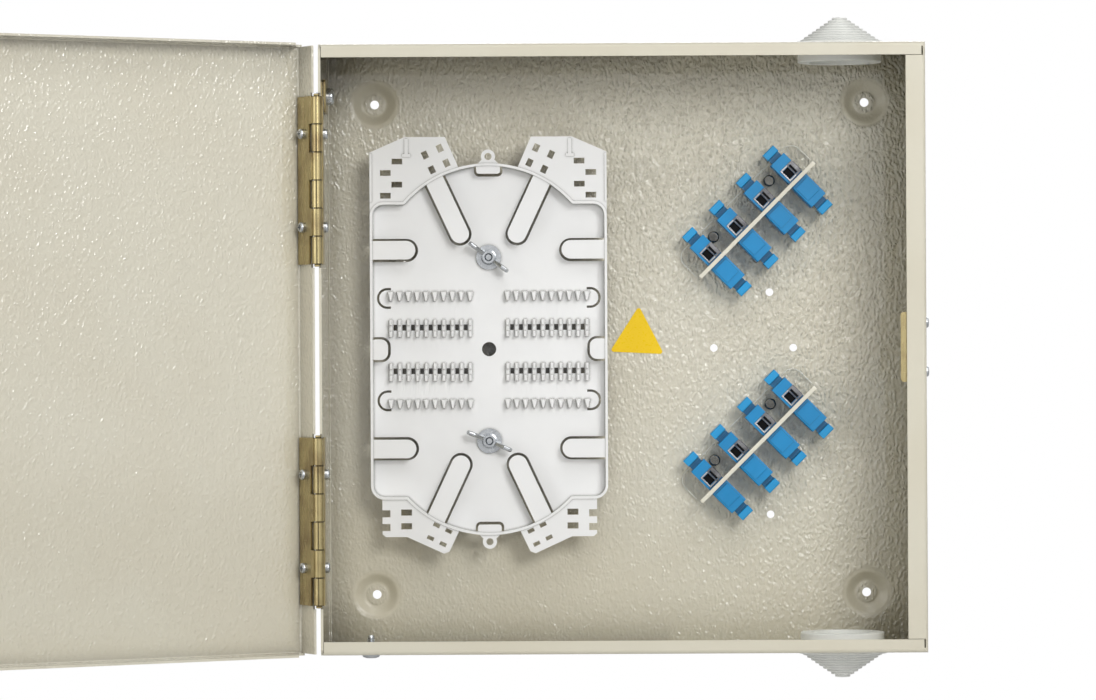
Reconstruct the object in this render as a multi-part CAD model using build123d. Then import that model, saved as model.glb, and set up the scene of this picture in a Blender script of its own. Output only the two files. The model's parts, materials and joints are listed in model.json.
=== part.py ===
from build123d import *
import os

# Wall-mount fibre distribution box, shown with its door open.
# All lengths are millimetres. +X is right, +Z is up, and the wall is the plane y = 0.
# Heights are measured from the wall towards the viewer, which is the -Y direction.
# The origin lies midway between the four wall screw holes.

# Folded sheet box
box_width = 300.0
box_height = 302.0
box_depth = 75.0
sheet = 1.2
bend_radius = 2.0
foot_depth = 3.0
top_lip = 6.5
bottom_lip = 6.6
right_lip = 9.8
lip_seam = 0.3
relief_width = 0.8
relief_length = 4.2
wall_end_chamfer = 2.7

# Wall feet
wall_hole_side = 25.0
wall_hole_end = 26.0
wall_hole_radius = 2.25
foot_radius = 12.8
foot_flat_radius = 5.6
foot_outer_pull = 3.4
foot_inner_pull = 3.8
foot_step = 0.4

# Hinges
hinge_length = 83.0
upper_hinge_end = 67.2
lower_hinge_end = 66.2
knuckle_count = 6
knuckle_gap = 0.25
pin_radius = 1.5
pin_overhang = 1.2
pin_chamfer = 0.3
running_fit = 0.05
leaf_sheet = 1.0
leaf_width = 15.0
pin_offset_out = 0.7
pin_offset_front = 1.2
knuckle_clearance = 0.5
knuckle_seam = 0.35
leaf_screw_offset = 9.3
leaf_screw_spacing = 46.2
leaf_screw_head_radius = 2.6
leaf_screw_head_height = 2.2
leaf_screw_shank_radius = 1.6

# Door
door_overhang = 0.5
door_flange = 15.6
door_gap = 1.6
door_corner_cut = 9.0
door_corner_foot = 2.0
door_corner_rest = 1.5
door_open_angle = 150.0

# Lock
lock_edge = 26.0
lock_z = 0.0
barrel_radius = 9.3
barrel_head_radius = 11.0
barrel_head_height = 2.0
barrel_head_round = 0.8
plug_radius = 6.2
plug_recess = 0.4
lock_nut_across = 24.0
lock_nut_height = 4.5
keyway_length = 8.0
keyway_width = 1.6
keyway_depth = 3.0
cam_length = 17.8
cam_width = 13.0
cam_sheet = 2.0
cam_square = 7.0
cam_clearance = 0.4
cam_screw_head_radius = 4.2
cam_screw_head_height = 2.6
cam_screw_shank_radius = 2.0
cam_screw_length = 8.0

# Catch plate on the right wall
catch_length = 34.5
catch_leg = 14.0
catch_reach = 3.0
catch_corner_radius = 1.5
rivet_spacing = 24.2
rivet_head_radius = 2.7
rivet_head_height = 1.6
rivet_head_round = 1.1
rivet_tail_radius = 2.3
rivet_tail_height = 1.0
rivet_radius = 1.6
rivet_front = 8.0

# Cable grommets
grommet_edge = 40.0
grommet_hole_radius = 18.6
grommet_fit = 0.1
grommet_flange_radius = 23.0
grommet_flange = 2.2
grommet_base_radius = 19.8
grommet_tip_radius = 3.8
grommet_height = 14.6
grommet_steps = 9
grommet_ring_radius = 21.0
grommet_ring = 7.0
grommet_bore_radius = 15.5
grommet_skin = 1.4
grommet_throat = 0.5

# Earthing parts
earth_edge = 23.5
earth_height = 45.0
earth_head_radius = 4.7
earth_head_height = 3.4
earth_shank_radius = 2.0
earth_reach = 6.8
bond_end = 24.0
bond_low = 29.0
bond_high = 54.0
bond_plate_length = 16.5
bond_sheet = 1.4
bond_corner_radius = 2.0
bond_head_radius = 4.3
bond_head_height = 3.6
bond_shank_radius = 2.5
bond_reach = 2.6

# Splice tray, drawn about its own centre
tray_x = -67.0
tray_z = 0.0
tray_half_width = 60.0
tray_top = 74.7
tray_bottom = -76.0
tray_corner_radius = 7.0
tray_arc_centre = 36.5
tray_arc_radius = 57.6
tray_wall = 1.2
tray_floor = 1.4
tray_depth = 9.0
tray_rise = 9.6
wing_plate = 1.4
slot_width = 1.2
tongue_plate = 1.3
tongue_half_width = 4.7
tray_ridge = 0.5
tab_radius = 3.55
tab_hole_radius = 1.8
tab_hole_v = 97.5
tab_half_width = 6.0
tab_inner_v = 88.8
tab_length = 8.0
tab_corner_radius = 1.4
tab_neck_points = ((6.6, 92.5), (3.2, 96.0), (2.4, 99.9))
side_tongue_length = 20.0
side_tongue_u = 41.7
side_tongue_v = 50.3
diagonal_tongue_length = 34.0
diagonal_tongue_u = 14.5
diagonal_tongue_v = 58.5
diagonal_tongue_angle = 65.0
stub_u = 56.0
stub_length = 9.8
stub_half_width = 5.2
stub_corner_radius = 3.6
hook_u = 51.5
hook_v = 26.0
hook_radius = 4.7
hook_end = 1.8
centre_hole_radius = 3.6
tray_stud_v = 46.6

# Outlines and windows of the tray's wings, as u and v places on one side
upper_wing_points = ((15.0, 92.0), (21.8, 107.5), (42.4, 107.5), (60.0, 99.8), (60.0, 64.0), (20.0, 64.0))
upper_wing_windows = ((46.1, 95.2), (52.0, 89.4), (46.2, 83.5), (52.0, 77.9))
upper_wing_window_width = 5.4
upper_wing_window_height = 2.9
upper_tilted_windows = ((31.9, 98.4), (24.4, 101.8), (28.4, 90.9), (21.0, 94.3))
upper_tilted_window_width = 3.0
upper_tilted_window_height = 3.9
lower_wing_points = ((54.3, -72.0), (54.3, -93.4), (52.6, -94.9), (41.8, -94.9), (23.2, -103.4),
                     (20.5, -102.4), (15.5, -92.0), (20.0, -70.0))
lower_wing_notches = ((54.3, -83.1), (54.3, -90.05))
lower_wing_notch_width = 8.0
lower_wing_notch_height = 3.6
lower_wing_windows = ((42.1, -82.5), (42.1, -89.45))
lower_wing_window_width = 5.5
lower_wing_window_height = 3.1
lower_tilted_windows = ((30.0, -95.5), (23.7, -98.6), (26.9, -89.0), (20.8, -92.0))
lower_tilted_window_width = 3.5
lower_tilted_window_height = 2.0
window_tilt = 25.0
strap_u = 41.4
strap_v = 102.4
strap_width = 1.8
strap_length = 8.4
strap_foot_width = 4.2
strap_foot_length = 1.5
wing_edge = 1.1
wing_edge_top = 99.2

# Combs of the tray
comb_count = 10
comb_pitch = 4.47
comb_start = 9.5
comb_height = 5.2
comb_tip = 0.9
comb_base = 2.0
comb_gap = 3.2
comb_block_height = 2.4
finger_root = 3.3
finger_end = 1.2
finger_taper = 5.0
outer_comb_rows = ((24.5, 29.4), (-30.0, -25.4))
inner_comb_rows = ((6.4, 15.1), (-16.0, -7.0))
window_rows = ((9.6, 12.6), (-12.5, -9.6))
window_width = 1.9

# Studs, washers and wing nuts that hold the tray
stud_radius = 2.0
stud_length = 19.0
stud_chamfer = 0.5
stud_clearance = 0.1
stud_hole_clearance = 0.3
spacer_radius = 4.0
washer_radius = 6.3
washer_thickness = 1.0
wing_boss_radius = 3.9
wing_boss_tip_radius = 3.1
wing_boss_height = 4.0
wing_thickness = 2.3
wing_round = 0.9
wing_points = ((2.3, 0.3), (5.5, 1.2), (11.35, 3.4), (12.35, 5.8), (10.95, 8.0), (7.95, 7.5), (2.9, 3.6))
upper_wing_angle = -37.0
lower_wing_angle = -23.0

# Adapter brackets and their screws
bracket_x = 39.5
upper_bracket_z = 35.1
lower_bracket_z = -78.6
bracket_angle = 45.0
bracket_length = 83.8
bracket_sheet = 2.0
bracket_foot = 16.0
bracket_height = 19.3
bracket_corner_radius = 6.0
bracket_top_radius = 2.0
bracket_bend_radius = 1.8
bracket_screw_start = 20.8
bracket_screw_spacing = 40.3
bracket_screw_offset = 9.5
bracket_screw_radius = 1.75
bracket_screw_head_radius = 2.9
bracket_screw_head_height = 2.1
bracket_screw_reach = 1.5
bracket_screw_clearance = 0.1
panel_hole_radius = 1.95

# Adapters, drawn with x along the bracket and y along the fibre
adapter_count = 4
adapter_start = 12.75
adapter_pitch = 19.4
adapter_width = 9.3
adapter_tall = 12.7
adapter_clip_side = 13.3
adapter_plain_side = 14.2
adapter_shoulder = 0.45
adapter_fit = 0.1
adapter_lift = 1.6
port_width = 7.4
port_tall = 9.2
port_depth = 10.5
sleeve_radius = 1.6
adapter_round = 0.6
clip_sheet = 0.4
clip_length = 7.6
clip_gap = 0.5
clip_window_width = 3.7
clip_window_length = 5.2
clip_window_shift = -0.9
clip_slot_width = 1.0
clip_slot_shift = 2.7
clip_recess = 3.0
clip_drop = 7.5
clip_side_inset = 2.4
clip_flare_inset = 3.0
clip_flare_angle = 16.0
raised_outline = 0.25
outline_side = 1.1
outline_near = 1.6
outline_far = 3.6

# Dust caps
cap_plug_clearance = 0.25
cap_plug_length = 6.0
cap_neck_width = 6.6
cap_neck_tall = 4.6
cap_neck_length = 2.6
cap_head_width = 7.3
cap_head_tall = 9.6
cap_head_length = 4.0
cap_head_round = 0.7

# Recessed pan heads, as shares of the head
head_round_share = 0.45
recess_length_share = 1.05
recess_width_share = 0.28

# Marker sticker
marker_x = 8.6
marker_z = 5.7
marker_side = 27.7
marker_turn = -2.8
marker_thickness = 0.2
marker_corner_radius = 1.2

# Places worked out from the sizes above
panel_back = foot_depth
panel_face = foot_depth + sheet
front_face = foot_depth + box_depth
inner_width = box_width - 2 * sheet
door_height = box_height + 2 * door_overhang
half_width = box_width / 2
half_height = box_height / 2
middle_height = foot_depth + box_depth / 2
upper_hinge_z = half_height - upper_hinge_end
lower_hinge_z = lower_hinge_end - half_height
lock_x = half_width - lock_edge
grommet_x = half_width - grommet_edge
earth_x = earth_edge - half_width
bond_z = half_height - bond_end
bond_middle = (bond_low + bond_high) / 2
pin_x = -half_width - pin_offset_out
pin_height = front_face + pin_offset_front
knuckle_radius = pin_radius + running_fit + leaf_sheet
knuckle_pitch = hinge_length / knuckle_count
notch_length = hinge_length + 2 * (pin_overhang + knuckle_clearance)
leaf_x = -half_width + sheet
door_edge = pin_height + door_gap
door_inside = door_edge + door_flange - sheet
door_outside = door_edge + door_flange
tray_under = panel_face + tray_rise
tray_face = tray_under + tray_floor
tray_rim = tray_under + tray_depth
tray_shelf = tray_rim - tray_ridge
nut_seat = tray_face + washer_thickness
adapter_centre = panel_face + bracket_sheet + adapter_lift + adapter_tall / 2
catch_face = front_face - sheet
rivet_height = front_face - rivet_front
cam_front = catch_face - sheet - cam_clearance
free_holes = [(76.0, 28.3), (47.5, 0.0), (76.0, -85.0), (88.0, 0.0)]
brackets = {"upper": upper_bracket_z, "lower": lower_bracket_z}
hinges = {"upper": upper_hinge_z, "lower": lower_hinge_z}


def slab(sketch, low, high):
    """A flat prism of a sketch drawn in X and Z, between two heights from the wall."""
    return extrude(Plane.XZ.offset(low) * sketch, amount=high - low)


def point(x, height, z):
    """A point given by its height from the wall."""
    return (x, -height, z)


def along(origin, direction, solid):
    """Moves a solid that was made along +Z so that it starts at origin and points along direction."""
    return Plane(origin=origin, z_dir=direction) * solid


def rod(radius, low, high):
    """A plain round rod along +Z."""
    return extrude(Plane.XY.offset(low) * Circle(radius), amount=high - low)


def panel_holes(places, radius):
    """Round cutters through the back panel."""
    cutters = Part()
    for x, z in places:
        cutters += slab(Pos(x, z) * Circle(radius), -1, panel_face + 1)
    return cutters


def pan_screw(head_radius, head_height, shank_radius, shank_length):
    """A cross-recessed pan-head screw: the head stands above z = 0, the shank hangs below it."""
    head = rod(head_radius, 0, head_height)
    head = fillet(head.edges().group_by(Axis.Z)[-1], head_height * head_round_share)
    arm = head_radius * recess_length_share
    slot = head_radius * recess_width_share
    recess = Pos(0, 0, head_height) * (Box(arm, slot, head_height) + Box(slot, arm, head_height))
    return head - recess + rod(shank_radius, -shank_length, 0)


def door_place(solid):
    """Swings a solid that was made with the door closed to the open rest position."""
    swing = Pos(pin_x, -pin_height, 0) * Rot(0, 0, -door_open_angle) * Pos(-pin_x, pin_height, 0)
    return swing * solid


# Enclosure: one folded sheet with pressed feet
def wall_hole_places():
    side = half_width - wall_hole_side
    end = half_height - wall_hole_end
    return [(-side, end), (side, end), (-side, -end), (side, -end)]


def bracket_frame(bracket_z):
    """The bracket's own frame: x runs along the plate, y away from it along the foot."""
    return Pos(bracket_x, bracket_z) * Rot(0, 0, bracket_angle)


def bracket_screw_places(bracket_z):
    places = []
    for i in range(2):
        spot = bracket_frame(bracket_z) * Pos(bracket_screw_start + i * bracket_screw_spacing,
                                              bracket_screw_offset)
        places.append((spot.position.X, spot.position.Y))
    return places


def folded_block(inset, radius):
    """The box's outside, or its inside when inset by the sheet, with rounded bends."""
    outline = Rectangle(box_width - 2 * inset, box_height - 2 * inset)
    block = slab(outline, panel_back + inset, front_face - inset)
    back = block.faces().sort_by(Axis.Y)[-1].edges()
    front = block.faces().sort_by(Axis.Y)[0].edges().sort_by(Axis.X)[1:]
    return fillet(back + front, radius)


def pressed_foot():
    """A dished foot drawn about +Z as it leans on the wall, with its screw hole."""
    inner_flat = foot_flat_radius - foot_step
    outer = Bezier((foot_radius, foot_depth), (foot_radius - foot_outer_pull, foot_depth),
                   (foot_flat_radius + foot_outer_pull, 0), (foot_flat_radius, 0))
    inner = Bezier((inner_flat, sheet), (inner_flat + foot_outer_pull, sheet),
                   (foot_radius - foot_inner_pull, panel_face), (foot_radius, panel_face))
    inward = Polyline((foot_flat_radius, 0), (wall_hole_radius, 0), (wall_hole_radius, sheet),
                      (inner_flat, sheet))
    outward = Line((foot_radius, panel_face), (foot_radius, foot_depth))
    profile = Plane.XZ * make_face([outer, inward, inner, outward])
    return revolve(profile, Axis.Z)


def hinge_notch(hinge_z):
    """Room for the knuckles and the pin's ends in the left wall's front edge."""
    low = pin_height - knuckle_radius - knuckle_clearance
    return slab(Pos(-half_width, hinge_z) * Rectangle(2 * sheet, notch_length), low, front_face + 1)


def lip_cuts():
    """The window between the lips, the seams of the right lip and the corner reliefs."""
    left = -half_width + sheet
    right = half_width - right_lip
    top = half_height - top_lip
    bottom = -half_height + bottom_lip
    low = front_face - 2 * sheet
    high = front_face + 1
    window = Pos((left + right) / 2, (top + bottom) / 2) * Rectangle(right - left, top - bottom)
    cuts = slab(window, low, high)
    relief_x = half_width - sheet - relief_width / 2
    for edge, lip, turn in ((top, top_lip, 1), (bottom, bottom_lip, -1)):
        seam = Pos(right + right_lip / 2 - sheet, edge - turn * lip_seam / 2)
        cuts += slab(seam * Rectangle(right_lip, lip_seam), low, high)
        relief = Pos(relief_x, edge + turn * relief_length / 2)
        cuts += slab(relief * Rectangle(relief_width, relief_length), front_face - 3 * sheet, high)
        free_length = lip + lip_seam - sheet
        free_end = Pos(left + lip_seam / 2, turn * (half_height - sheet - free_length / 2))
        cuts += slab(free_end * Rectangle(lip_seam, free_length), low, high)
        corner = Pos(-half_width, -front_face, turn * half_height) * Rot(45, 0, 0)
        side = wall_end_chamfer * 2 ** 0.5
        cuts += corner * Box(2 * sheet, side, side)
    return cuts


def enclosure_shell():
    shell = folded_block(0, bend_radius) - folded_block(sheet, bend_radius - sheet)
    shell -= lip_cuts()
    foot = pressed_foot()
    for x, z in wall_hole_places():
        shell -= slab(Pos(x, z) * Circle(foot_radius), -1, panel_face + 1)
        shell += along(point(x, 0, z), (0, -1, 0), foot)
    shell -= panel_holes(free_holes, panel_hole_radius)
    for bracket_z in brackets.values():
        shell -= panel_holes(bracket_screw_places(bracket_z), bracket_screw_radius)
    shell -= panel_holes(tray_stud_places(), stud_radius)
    for hinge_z in hinges.values():
        shell -= hinge_notch(hinge_z)
        for x_place, z in leaf_screw_places(hinge_z):
            shell -= along(point(-half_width, pin_height - leaf_screw_offset, z), (1, 0, 0),
                           rod(leaf_screw_shank_radius, -1, 2 * sheet))
    for turn in (1, -1):
        hole = rod(grommet_hole_radius, -3 * sheet, 1)
        shell -= along(point(grommet_x, middle_height, turn * half_height), (0, 0, turn), hole)
        rivet = rod(rivet_radius, -2 * sheet, 1)
        shell -= along(point(half_width, rivet_height, turn * rivet_spacing / 2), (1, 0, 0), rivet)
    shell -= along(point(earth_x, earth_height, -half_height), (0, 0, 1),
                   rod(earth_shank_radius, -1, 2 * sheet))
    shell -= along(point(-half_width, bond_middle, bond_z), (1, 0, 0),
                   rod(bond_shank_radius, -1, 2 * sheet))
    return shell


# Hinges
def leaf_screw_places(hinge_z):
    return [(leaf_x, hinge_z + leaf_screw_spacing / 2), (leaf_x, hinge_z - leaf_screw_spacing / 2)]


def knuckle_span(hinge_z, i):
    """The lower and upper end of knuckle i, counted from the top."""
    top = hinge_z + hinge_length / 2 - i * knuckle_pitch
    return top - knuckle_pitch + knuckle_gap / 2, top - knuckle_gap / 2


def hinge_leaf(hinge_z, own, turn):
    """One leaf with its rolled knuckles. turn is -1 towards the wall and +1 towards the door."""
    outline = Pos(leaf_x + leaf_sheet / 2, hinge_z) * Rectangle(leaf_sheet, hinge_length)
    low = min(pin_height, pin_height + turn * leaf_width)
    leaf = slab(outline, low, low + leaf_width)
    for i in range(knuckle_count):
        bottom, top = knuckle_span(hinge_z, i)
        if i in own:
            barrel = extrude(Plane.XY.offset(bottom) * Pos(pin_x, -pin_height) * Circle(knuckle_radius),
                             amount=top - bottom)
            leaf += barrel
        else:
            room = knuckle_radius + knuckle_clearance
            slot = Pos(leaf_x + leaf_sheet / 2, -pin_height, (bottom + top) / 2)
            leaf -= slot * Box(4 * leaf_sheet, 2 * room, top - bottom + 2 * knuckle_gap)
    bore = extrude(Plane.XY.offset(hinge_z - hinge_length) * Pos(pin_x, -pin_height)
                   * Circle(pin_radius + running_fit), amount=2 * hinge_length)
    leaf -= bore
    for i in own:
        bottom, top = knuckle_span(hinge_z, i)
        seam = Pos(pin_x, -pin_height - knuckle_radius, (bottom + top) / 2)
        leaf -= seam * Box(knuckle_seam, 3 * leaf_sheet, top - bottom)
    for x, z in leaf_screw_places(hinge_z):
        hole = rod(leaf_screw_shank_radius, -1, 2 * leaf_sheet)
        leaf -= along(point(leaf_x, pin_height + turn * leaf_screw_offset, z), (1, 0, 0), hole)
    return leaf


def hinge_pin(hinge_z):
    length = hinge_length + 2 * pin_overhang
    bottom = hinge_z - length / 2
    pin = extrude(Plane.XY.offset(bottom) * Pos(pin_x, -pin_height) * Circle(pin_radius), amount=length)
    return chamfer(pin.edges().group_by(Axis.Z)[0] + pin.edges().group_by(Axis.Z)[-1], pin_chamfer)


def leaf_screws(turn):
    """Four screws through one side's leaves, heads inside and shanks flush outside."""
    screws = []
    for hinge_z in hinges.values():
        for x, z in leaf_screw_places(hinge_z):
            screw = pan_screw(leaf_screw_head_radius, leaf_screw_head_height,
                              leaf_screw_shank_radius, leaf_sheet + sheet)
            seat = point(leaf_x + leaf_sheet, pin_height + turn * leaf_screw_offset, z)
            screws.append(along(seat, (1, 0, 0), screw))
    return screws


# Door, made closed and swung open at the end
def door_shell():
    outline = Rectangle(box_width, door_height)
    block = slab(outline, door_edge, door_outside)
    block = fillet(block.faces().sort_by(Axis.Y)[0].edges(), bend_radius)
    inside = slab(Rectangle(inner_width, door_height - 2 * sheet), door_edge - 1, door_inside)
    inside = fillet(inside.faces().sort_by(Axis.Y)[0].edges(), bend_radius - sheet)
    door = block - inside
    left = -half_width
    start = left + sheet
    rest = door_inside - door_corner_rest
    cut = Polyline((start, door_edge - 1), (start + door_corner_cut, door_edge - 1),
                   (start + door_corner_foot, rest), (start, rest), (start, door_edge - 1))
    for turn in (1, -1):
        strip = Plane.XY.offset(turn * (door_height - sheet) / 2 - sheet / 2)
        door -= extrude(strip * mirror(make_face(cut), Plane.XZ), amount=sheet)
        end = Pos(left, turn * door_height / 2) * Rectangle(3 * sheet, 2 * sheet)
        door -= slab(end, 0, rest)
    for hinge_z in hinges.values():
        high = pin_height + knuckle_radius + knuckle_clearance
        door -= slab(Pos(left, hinge_z) * Rectangle(2 * sheet, notch_length), 0, high)
        for x, z in leaf_screw_places(hinge_z):
            hole = rod(leaf_screw_shank_radius, -1, 2 * sheet)
            door -= along(point(left, pin_height + leaf_screw_offset, z), (1, 0, 0), hole)
    door -= slab(Pos(lock_x, lock_z) * Circle(barrel_radius + running_fit), 0, door_outside + 1)
    return door


# Lock, made closed; its axis stands on the door
def lock_barrel():
    cam_back = cam_front - cam_sheet
    body = rod(barrel_radius, cam_front, door_outside)
    head = rod(barrel_head_radius, door_outside, door_outside + barrel_head_height)
    head = fillet(head.edges().group_by(Axis.Z)[-1], barrel_head_round)
    bore = rod(plug_radius + running_fit, cam_back, door_outside + 2 * barrel_head_height)
    return along((lock_x, 0, lock_z), (0, -1, 0), body + head - bore)


def lock_nut():
    hexagon = RegularPolygon(lock_nut_across / 2, 6, major_radius=False)
    nut = extrude(Plane.XY.offset(door_inside - lock_nut_height) * hexagon, amount=lock_nut_height)
    nut -= rod(barrel_radius + running_fit, 0, door_outside)
    return along((lock_x, 0, lock_z), (0, -1, 0), nut)


def lock_plug():
    top = door_outside + barrel_head_height - plug_recess
    plug = rod(plug_radius, cam_front, top)
    keyway = Pos(0, 0, top) * Box(keyway_width, keyway_length, 2 * keyway_depth)
    square = Pos(0, 0, cam_front - cam_sheet / 2) * Box(cam_square, cam_square, cam_sheet)
    screw_hole = rod(cam_screw_shank_radius, cam_front - cam_sheet, cam_front + cam_screw_length)
    return along((lock_x, 0, lock_z), (0, -1, 0), plug - keyway + square - screw_hole)


def lock_cam():
    """The cam points down while unlocked; a quarter turn brings it behind the catch plate."""
    reach = cam_length - cam_width / 2
    bar = Pos(0, -reach / 2) * SlotCenterToCenter(reach, cam_width, rotation=90)
    bar -= Rectangle(cam_square + 2 * running_fit, cam_square + 2 * running_fit)
    return slab(Pos(lock_x, lock_z) * bar, cam_front - cam_sheet, cam_front)


def lock_cam_screw():
    screw = pan_screw(cam_screw_head_radius, cam_screw_head_height, cam_screw_shank_radius,
                      cam_screw_length)
    return along(point(lock_x, cam_front - cam_sheet, lock_z), (0, 1, 0), screw)


# Catch plate on the right wall
def lock_catch_plate():
    inside = half_width - sheet
    tip = half_width - right_lip - catch_reach
    outline = Polyline((inside, -catch_face), (tip, -catch_face), (tip, -catch_face + sheet),
                       (inside - sheet, -catch_face + sheet), (inside - sheet, -catch_face + catch_leg),
                       (inside, -catch_face + catch_leg), (inside, -catch_face))
    plate = extrude(Plane.XY.offset(-catch_length / 2) * make_face(outline), amount=catch_length)
    tip_edges = plate.edges().filter_by(Axis.Y).group_by(Axis.X)[0]
    plate = fillet(tip_edges, catch_corner_radius)
    bend = plate.edges().filter_by(Axis.Z).group_by(Axis.X)[-1].sort_by(Axis.Y)[0]
    plate = fillet(bend, sheet)
    for turn in (1, -1):
        hole = rod(rivet_radius, -2 * catch_leg, 0)
        plate -= along(point(half_width, rivet_height, turn * rivet_spacing / 2), (1, 0, 0), hole)
    return plate


def catch_plate_rivets():
    rivets = []
    for turn in (1, -1):
        head = rod(rivet_head_radius, 0, rivet_head_height)
        head = fillet(head.edges().group_by(Axis.Z)[-1], rivet_head_round)
        tail = rod(rivet_tail_radius, -2 * sheet - rivet_tail_height, -2 * sheet)
        rivet = head + rod(rivet_radius, -2 * sheet, 0) + tail
        rivets.append(along(point(half_width, rivet_height, turn * rivet_spacing / 2), (1, 0, 0), rivet))
    return rivets


# Stepped cable grommet, revolved about +Z with z = 0 on the wall's outer face
def cable_grommet():
    groove = grommet_hole_radius - grommet_fit
    rise = (grommet_height - grommet_flange) / grommet_steps
    run = (grommet_base_radius - grommet_tip_radius) / (grommet_steps - 1)
    points = [(grommet_bore_radius, -sheet - grommet_ring), (grommet_ring_radius, -sheet - grommet_ring),
              (grommet_ring_radius, -sheet), (groove, -sheet), (groove, 0), (grommet_flange_radius, 0),
              (grommet_flange_radius, grommet_flange)]
    for i in range(grommet_steps):
        radius = grommet_base_radius - i * run
        points.append((radius, grommet_flange + i * rise))
        points.append((radius, grommet_flange + (i + 1) * rise))
    points += [(0, grommet_height), (0, grommet_height - grommet_skin),
               (grommet_tip_radius - grommet_skin, grommet_height - grommet_skin),
               (grommet_bore_radius, grommet_flange - grommet_throat), points[0]]
    return revolve(Plane.XZ * make_face(Polyline(*points)), Axis.Z)


def placed_grommet(turn):
    return along(point(grommet_x, middle_height, turn * half_height), (0, 0, turn), cable_grommet())


# Earthing parts
def earth_screw():
    screw = pan_screw(earth_head_radius, earth_head_height, earth_shank_radius, sheet + earth_reach)
    return along(point(earth_x, earth_height, -half_height), (0, 0, -1), screw)


def bonding_plate():
    plate = slab(Pos(leaf_x + bond_sheet / 2, bond_z) * Rectangle(bond_sheet, bond_plate_length),
                 bond_low, bond_high)
    plate = fillet(plate.edges().filter_by(Axis.X), bond_corner_radius)
    hole = rod(bond_shank_radius, -1, 2 * bond_sheet)
    return plate - along(point(leaf_x, bond_middle, bond_z), (1, 0, 0), hole)


def bonding_screw():
    screw = pan_screw(bond_head_radius, bond_head_height, bond_shank_radius,
                      bond_sheet + sheet + bond_reach)
    return along(point(leaf_x + bond_sheet, bond_middle, bond_z), (1, 0, 0), screw)


# Splice tray, drawn in its own u and v and then moved to its place
def tray_stud_places():
    return [(tray_x, tray_z + tray_stud_v), (tray_x, tray_z - tray_stud_v)]


def both_sides(sketch):
    return sketch + mirror(sketch, Plane.YZ)


def tray_body():
    middle = (tray_top + tray_bottom) / 2
    body = Pos(0, middle) * RectangleRounded(2 * tray_half_width, tray_top - tray_bottom,
                                             tray_corner_radius)
    for turn in (1, -1):
        body += Pos(0, turn * tray_arc_centre) * Circle(tray_arc_radius)
    return body


def closed_face(points):
    return make_face(Polyline(*points, points[0]))


def windowed(outline, places, width, height, tilt):
    """An outline with a row of like rectangular windows."""
    for u, v in places:
        outline -= Pos(u, v) * Rot(0, 0, tilt) * Rectangle(width, height)
    return outline


def upper_wing():
    wing = closed_face(upper_wing_points)
    wing = windowed(wing, upper_wing_windows, upper_wing_window_width, upper_wing_window_height, 0)
    return windowed(wing, upper_tilted_windows, upper_tilted_window_width, upper_tilted_window_height,
                    -window_tilt)


def lower_wing():
    wing = closed_face(lower_wing_points)
    wing = windowed(wing, lower_wing_notches, lower_wing_notch_width, lower_wing_notch_height, 0)
    wing = windowed(wing, lower_wing_windows, lower_wing_window_width, lower_wing_window_height, 0)
    return windowed(wing, lower_tilted_windows, lower_tilted_window_width, lower_tilted_window_height,
                    window_tilt)


def wing_raised_parts():
    """The strap and the outer edge that stand up from an upper wing to the rim's height."""
    strap = Pos(strap_u, strap_v) * Rectangle(strap_width, strap_length)
    foot_v = strap_v - strap_length / 2
    strap += Pos(strap_u, foot_v) * Rectangle(strap_foot_width, strap_foot_length)
    edge_length = wing_edge_top - tray_top
    edge = Pos(tray_half_width - wing_edge / 2, tray_top + edge_length / 2)
    return strap + edge * Rectangle(wing_edge, edge_length)


def centre_tab(turn):
    head = Pos(0, turn * tab_hole_v) * Circle(tab_radius)
    right = [(u, turn * v) for u, v in tab_neck_points]
    left = [(-u, turn * v) for u, v in reversed(tab_neck_points)]
    return head + closed_face(right + left) - Pos(0, turn * tab_hole_v) * Circle(tab_hole_radius)


def finger(half, length, u, v, angle):
    """A round-ended tongue whose tip centre is at u, v and whose root lies along angle."""
    shape = Pos(length / 2, 0) * Rectangle(length, 2 * half) + Circle(half)
    return Pos(u, v) * Rot(0, 0, angle) * shape


def tray_tongues(grow):
    """All tongues that reach in from the rim, grown by a slot's width for the holes below them."""
    fingers = Sketch()
    half = tongue_half_width + grow
    for turn in (1, -1):
        side = finger(half, side_tongue_length, side_tongue_u, turn * side_tongue_v, 0)
        diagonal = finger(half, diagonal_tongue_length, diagonal_tongue_u, turn * diagonal_tongue_v,
                          turn * diagonal_tongue_angle)
        fingers += both_sides(side) + both_sides(diagonal)
        short = RectangleRounded(2 * (tab_half_width + grow), tab_length + 2 * grow,
                                 tab_corner_radius + grow)
        fingers += Pos(0, turn * (tab_inner_v + tab_length / 2)) * short
    stub = RectangleRounded(stub_length + 2 * grow, 2 * (stub_half_width + grow),
                            stub_corner_radius + grow)
    return fingers + both_sides(Pos(stub_u, 0) * stub)


def hook_slots():
    """Four open rings cut in the floor, with their gaps towards the middle."""
    slots = Sketch()
    ring = Circle(hook_radius + slot_width / 2) - Circle(hook_radius - slot_width / 2)
    ring -= Pos(-hook_radius, 0) * Rectangle(2 * hook_radius, 3 * hook_radius)
    for turn in (1, -1):
        ring += Pos(-hook_end / 2, turn * hook_radius) * Rectangle(hook_end, slot_width)
    for v in (hook_v, -hook_v):
        slots += both_sides(Pos(hook_u, v) * ring)
    return slots


def comb_places():
    return [comb_start + i * comb_pitch for i in range(comb_count)]


def comb_windows():
    windows = Sketch()
    for low, high in window_rows:
        for u in comb_places()[:-1]:
            window = Pos(u + comb_pitch / 2, (low + high) / 2) * Rectangle(window_width, high - low)
            windows += both_sides(window)
    return windows


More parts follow.
